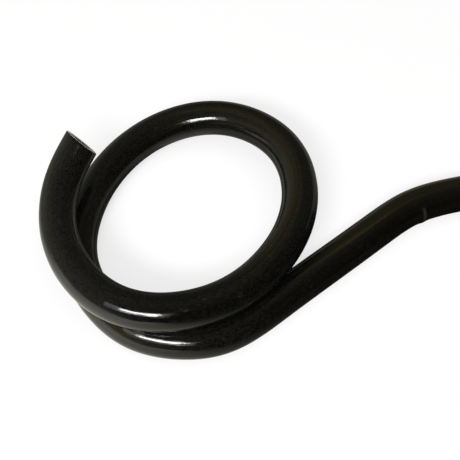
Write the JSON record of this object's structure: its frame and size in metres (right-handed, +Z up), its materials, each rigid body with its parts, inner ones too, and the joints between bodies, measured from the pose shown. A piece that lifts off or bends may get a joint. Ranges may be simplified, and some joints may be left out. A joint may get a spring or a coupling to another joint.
{
  "type": "soaker hose",
  "caption": "Smooth black garden soaker hose: a bare cut end laid in an overlapping loop, the rest in a tied coil, and a ribbed swivel coupling on the supply end.",
  "frame": {"origin": "middle of the whole part's footprint, on the surface that it lies on", "axes": "+X along the coupling's axis, out of its mouth, and from the laid loop towards the coil; +Z up from the floor; +Y across, from the coil's far side towards the loop's top"},
  "size_m": [0.4981, 0.3385, 0.0447],
  "materials": {
    "hose": "smooth and glossy, with faint longitudinal streaks",
    "tie": "moulded nylon, satin",
    "brass": "turned",
    "ferrule": "rolled, satin",
    "nut": "moulded, fine matt",
    "washer": "matt moulded rubber",
    "restrictor": "moulded, matt"
  },
  "bodies": {
    "hose": {"hose_run": "hose", "hose_coil": "hose", "hose_lead": "hose", "tie_front": "tie", "tie_right": "tie", "tie_left": "tie", "tail_piece": "brass", "ferrule": "ferrule", "sealing_washer": "washer", "flow_restrictor": "restrictor"},
    "nut": {"swivel_nut": "nut"}
  },
  "joints": [
    {"name": "nut_spin", "type": "hinge", "parent": "hose", "child": "nut", "pos_m": [0.221, 0.139, 0.017], "axis": [1, 0, 0], "continuous": true}
  ]
}
